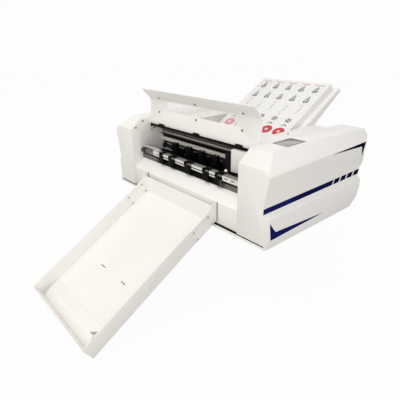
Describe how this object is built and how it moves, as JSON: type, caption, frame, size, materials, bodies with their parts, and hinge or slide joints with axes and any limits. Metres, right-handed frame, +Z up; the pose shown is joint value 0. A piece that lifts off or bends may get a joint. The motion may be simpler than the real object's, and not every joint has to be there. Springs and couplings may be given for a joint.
{
  "type": "label die cutter",
  "caption": "Desktop sheet-fed label cutter with faceted side housings, a hinged windowed lid, a sliding knife carriage, a sloping feed table and a drop-down delivery tray.",
  "frame": {"origin": "middle of the body's footprint on the underside of the base plate; the rubber feet reach 9 mm below it", "axes": "+X to the machine's right as seen from the front, +Y to the back, where the feed table rises, and +Z up; the tray hangs out on the -Y side"},
  "size_m": [0.7112, 1.0159, 0.5667],
  "materials": {
    "pod_white": "smooth satin",
    "white_paint": "smooth satin",
    "cover_white": "smooth satin",
    "black_rubber": "matte",
    "screw_steel": "dull zinc",
    "screen_frame": "matte",
    "screen_glass": "glossy",
    "black_metal": "satin black",
    "black_plastic": "matte",
    "arm_black": "matte",
    "wheel_rubber": "matte",
    "clear_sheet": "clear acrylic",
    "beam_aluminium": "anodised grey",
    "bright_steel": "bright",
    "shaft_steel": "ground",
    "roller_steel": "ground, with rubber rollers",
    "bearing_bronze": "sintered",
    "strip_plastic": "matte",
    "belt_rubber": "matte",
    "motor_metal": "satin black",
    "pulley_metal": "turned",
    "chrome": "polished",
    "paper": "semi-gloss label paper, printed"
  },
  "bodies": {
    "case": {"base_plate": "white_paint", "base_gasket": "black_rubber", "rubber_feet": "black_rubber", "left_pod_shell": "pod_white", "right_pod_shell": "pod_white", "left_inner_plate": "white_paint", "right_inner_plate": "white_paint", "front_panel": "white_paint", "top_cover": "white_paint", "rear_panel": "white_paint", "screen_bezel": "screen_frame", "touch_screen": "screen_glass", "shell_screws": "screw_steel", "lid_hinge_strip": "black_metal", "tray_mounts": "black_metal", "power_inlet": "black_plastic", "guide_beam": "beam_aluminium", "linear_rail": "bright_steel", "platen": "beam_aluminium", "cutting_strip": "strip_plastic", "exit_guide": "black_plastic", "label_pressers": "bright_steel", "shaft_bearings": "bearing_bronze", "carriage_motor": "motor_metal", "carriage_belt": "belt_rubber", "media_motor": "motor_metal", "feed_table": "white_paint", "table_supports": "black_metal"},
    "lid": {"lid_panel": "white_paint", "lid_window": "clear_sheet", "lid_screws": "screw_steel", "lid_hinge_leaves": "black_metal"},
    "tray": {"tray_body": "white_paint", "tray_brackets": "white_paint", "tray_end_stop": "white_paint", "tray_screws": "screw_steel"},
    "carriage": {"carriage": "black_plastic", "carriage_cover": "cover_white"},
    "tool": {"tool_holder": "chrome"},
    "clamp_knob": {"tool_clamp_knob": "chrome"},
    "drive_pulley": {"belt_drive_pulley": "pulley_metal"},
    "idler_pulley": {"belt_idler_pulley": "pulley_metal"},
    "drive_roller": {"drive_shaft": "shaft_steel"},
    "exit_roller": {"exit_shaft": "shaft_steel"},
    "feed_roller": {"feed_shaft": "roller_steel"},
    "lift": {"lift_shaft": "bright_steel"},
    "left_guide": {"left_side_guide": "black_plastic"},
    "right_guide": {"right_side_guide": "black_plastic"},
    "stack": {"label_sheets": "paper"},
    "switch": {"power_switch": "black_plastic"},
    "arm_1": {"pinch_arm_1": "arm_black"},
    "wheel_1": {"pinch_wheel_1": "wheel_rubber"},
    "arm_2": {"pinch_arm_2": "arm_black"},
    "wheel_2": {"pinch_wheel_2": "wheel_rubber"},
    "arm_3": {"pinch_arm_3": "arm_black"},
    "wheel_3": {"pinch_wheel_3": "wheel_rubber"},
    "arm_4": {"pinch_arm_4": "arm_black"},
    "wheel_4": {"pinch_wheel_4": "wheel_rubber"},
    "arm_5": {"pinch_arm_5": "arm_black"},
    "wheel_5": {"pinch_wheel_5": "wheel_rubber"}
  },
  "joints": [
    {"name": "lid_hinge", "type": "hinge", "parent": "case", "child": "lid", "pos_m": [0, -0.156, 0.225], "axis": [1, 0, 0], "range_deg": [0, 129]},
    {"name": "tray_hinge", "type": "hinge", "parent": "case", "child": "tray", "pos_m": [0, -0.236, 0.072], "axis": [-1, 0, 0], "range_deg": [0, 35]},
    {"name": "carriage_slide", "type": "slide", "parent": "case", "child": "carriage", "axis": [1, 0, 0], "range_m": [-0.36, 0.01]},
    {"name": "drive_pulley_turn", "type": "hinge", "parent": "case", "child": "drive_pulley", "pos_m": [0.222, -0.12, 0.2045], "axis": [0, 1, 0], "range_deg": [-80, 2700]},
    {"name": "idler_pulley_turn", "type": "hinge", "parent": "case", "child": "idler_pulley", "pos_m": [-0.222, -0.12, 0.2045], "axis": [0, 1, 0], "range_deg": [-80, 2700]},
    {"name": "tool_plunge", "type": "slide", "parent": "carriage", "child": "tool", "axis": [0, 0, -1], "range_m": [0, 0.004], "stiffness_N_per_m": 500, "springref_m": -0.004},
    {"name": "clamp_knob_turn", "type": "hinge", "parent": "carriage", "child": "clamp_knob", "pos_m": [0.125, -0.168, 0.1355], "axis": [1, 0, 0], "range_deg": [0, 180]},
    {"name": "drive_roller_turn", "type": "hinge", "parent": "case", "child": "drive_roller", "pos_m": [0, -0.132, 0.112], "axis": [1, 0, 0], "continuous": true},
    {"name": "exit_roller_turn", "type": "hinge", "parent": "case", "child": "exit_roller", "pos_m": [0, -0.188, 0.132], "axis": [1, 0, 0], "continuous": true},
    {"name": "feed_roller_turn", "type": "hinge", "parent": "case", "child": "feed_roller", "pos_m": [0, -0.0225, 0.15888], "axis": [1, 0, 0], "continuous": true},
    {"name": "lift_turn", "type": "hinge", "parent": "case", "child": "lift", "pos_m": [0, -0.094, 0.131], "axis": [-1, 0, 0], "range_deg": [0, 40]},
    {"name": "right_guide_slide", "type": "slide", "parent": "case", "child": "right_guide", "axis": [1, 0, 0], "range_m": [0, 0.016]},
    {"name": "left_guide_slide", "type": "slide", "parent": "case", "child": "left_guide", "axis": [-1, 0, 0], "range_m": [0, 0.016]},
    {"name": "stack_slide", "type": "slide", "parent": "case", "child": "stack", "axis": [0, 0.866, 0.5], "range_m": [0, 0.12]},
    {"name": "switch_rock", "type": "hinge", "parent": "case", "child": "switch", "pos_m": [-0.135, 0.2035, 0.095], "axis": [-1, 0, 0], "range_deg": [0, 16]},
    {"name": "arm_1_lift", "type": "hinge", "parent": "case", "child": "arm_1", "pos_m": [-0.13, -0.094, 0.131], "axis": [-1, 0, 0], "range_deg": [0, 5]},
    {"name": "wheel_1_turn", "type": "hinge", "parent": "arm_1", "child": "wheel_1", "pos_m": [-0.13, -0.132, 0.1283], "axis": [1, 0, 0], "continuous": true},
    {"name": "arm_2_lift", "type": "hinge", "parent": "case", "child": "arm_2", "pos_m": [-0.058, -0.094, 0.131], "axis": [-1, 0, 0], "range_deg": [0, 5]},
    {"name": "wheel_2_turn", "type": "hinge", "parent": "arm_2", "child": "wheel_2", "pos_m": [-0.058, -0.132, 0.1283], "axis": [1, 0, 0], "continuous": true},
    {"name": "arm_3_lift", "type": "hinge", "parent": "case", "child": "arm_3", "pos_m": [0.004, -0.094, 0.131], "axis": [-1, 0, 0], "range_deg": [0, 5]},
    {"name": "wheel_3_turn", "type": "hinge", "parent": "arm_3", "child": "wheel_3", "pos_m": [0.004, -0.132, 0.1283], "axis": [1, 0, 0], "continuous": true},
    {"name": "arm_4_lift", "type": "hinge", "parent": "case", "child": "arm_4", "pos_m": [0.07, -0.094, 0.131], "axis": [-1, 0, 0], "range_deg": [0, 5]},
    {"name": "wheel_4_turn", "type": "hinge", "parent": "arm_4", "child": "wheel_4", "pos_m": [0.07, -0.132, 0.1283], "axis": [1, 0, 0], "continuous": true},
    {"name": "arm_5_lift", "type": "hinge", "parent": "case", "child": "arm_5", "pos_m": [0.118, -0.094, 0.131], "axis": [-1, 0, 0], "range_deg": [0, 5]},
    {"name": "wheel_5_turn", "type": "hinge", "parent": "arm_5", "child": "wheel_5", "pos_m": [0.118, -0.132, 0.1283], "axis": [1, 0, 0], "continuous": true}
  ],
  "couplings": [
    {"joint": "drive_pulley_turn", "follows": "carriage_slide", "rad_per_m": -129.87},
    {"joint": "idler_pulley_turn", "follows": "carriage_slide", "rad_per_m": -129.87},
    {"joint": "exit_roller_turn", "follows": "drive_roller_turn", "ratio": -1.1111},
    {"joint": "left_guide_slide", "follows": "right_guide_slide", "ratio": 1},
    {"joint": "arm_1_lift", "follows": "lift_turn", "ratio": 0.125},
    {"joint": "arm_2_lift", "follows": "lift_turn", "ratio": 0.125},
    {"joint": "arm_3_lift", "follows": "lift_turn", "ratio": 0.125},
    {"joint": "arm_4_lift", "follows": "lift_turn", "ratio": 0.125},
    {"joint": "arm_5_lift", "follows": "lift_turn", "ratio": 0.125}
  ]
}
